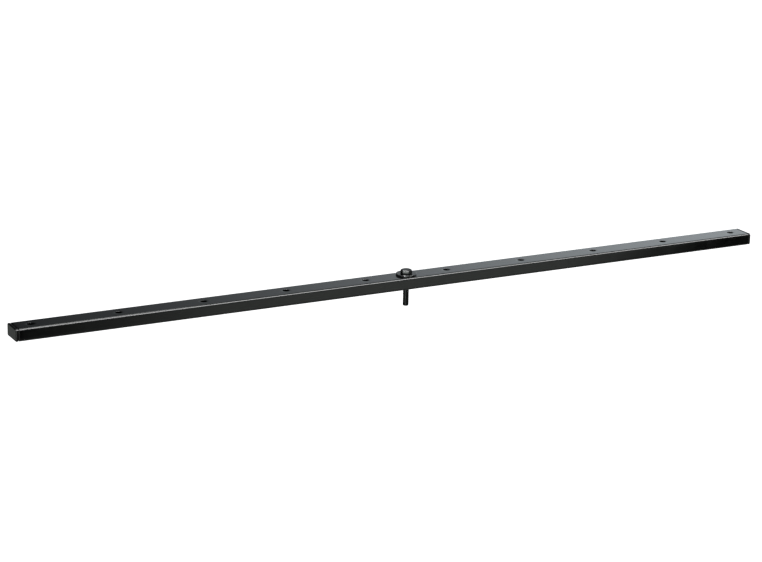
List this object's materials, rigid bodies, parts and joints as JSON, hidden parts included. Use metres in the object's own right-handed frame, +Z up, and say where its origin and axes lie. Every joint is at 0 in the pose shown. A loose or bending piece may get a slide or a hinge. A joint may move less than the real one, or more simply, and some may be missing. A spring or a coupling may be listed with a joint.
{
  "type": "lighting stand crossbar",
  "caption": "Black flat steel crossbar for a lighting stand, with a row of lamp holes, ribbed plastic end caps, and a loose hex bolt with a broad washer through the middle hole.",
  "frame": {"origin": "on the axis of the middle hole and its bolt, in the plane of the tube's underside", "axes": "+X along the bar, +Y across its flat width, +Z up from the underside towards the bolt's head"},
  "size_m": [1.35, 0.04, 0.0614],
  "materials": {
    "black_coated_steel": "semi-gloss black coat",
    "black_plastic": "moulded, slightly textured",
    "black_zinc_washer": "black plated, smooth",
    "black_zinc_bolt": "black plated, satin"
  },
  "bodies": {
    "beam": {"beam_tube": "black_coated_steel", "left_end_cap": "black_plastic", "right_end_cap": "black_plastic"},
    "washer": {"bolt_washer": "black_zinc_washer"},
    "bolt": {"stand_bolt": "black_zinc_bolt"}
  },
  "joints": [
    {"name": "washer_lift", "type": "slide", "parent": "beam", "child": "washer", "axis": [0, 0, 1], "range_m": [0, 0.06]},
    {"name": "bolt_turn", "type": "hinge", "parent": "washer", "child": "bolt", "pos_m": [0, 0, 0], "axis": [0, 0, 1], "continuous": true}
  ]
}
